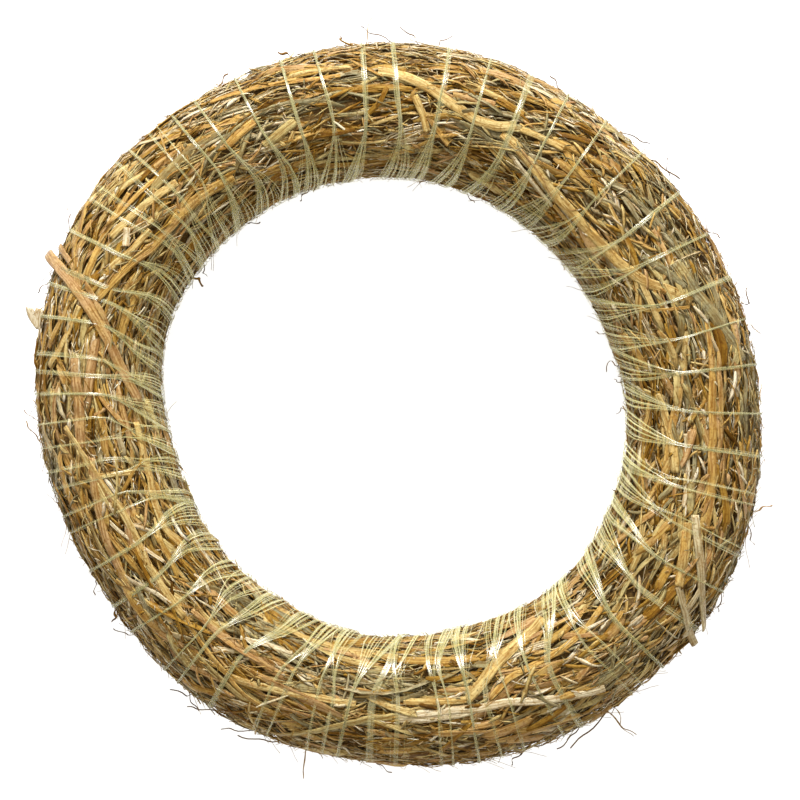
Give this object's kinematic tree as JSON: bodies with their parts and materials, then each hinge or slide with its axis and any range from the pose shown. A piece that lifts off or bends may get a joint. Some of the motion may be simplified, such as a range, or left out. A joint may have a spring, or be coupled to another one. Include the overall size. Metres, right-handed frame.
{
  "type": "straw wreath",
  "caption": "Ring of packed straw with a rounded front and a flat back, bound all the way round with flat film twine, as a base for a wreath.",
  "frame": {"origin": "middle of the flat back, below the centre of the outline", "axes": "+Z through the hole from the flat back to the rounded front; the ring lies in X and Y"},
  "size_m": [0.2998, 0.2988, 0.0526],
  "materials": {
    "straw": "dry cereal straw, satin on the stems and dull in the gaps, golden tan with grey-green and brown stems",
    "film_twine": "split polypropylene film, thin, see-through and glossy, pale olive straw"
  },
  "bodies": {
    "root": {"straw_ring": "straw", "binding_twine": "film_twine"}
  },
  "joints": []
}
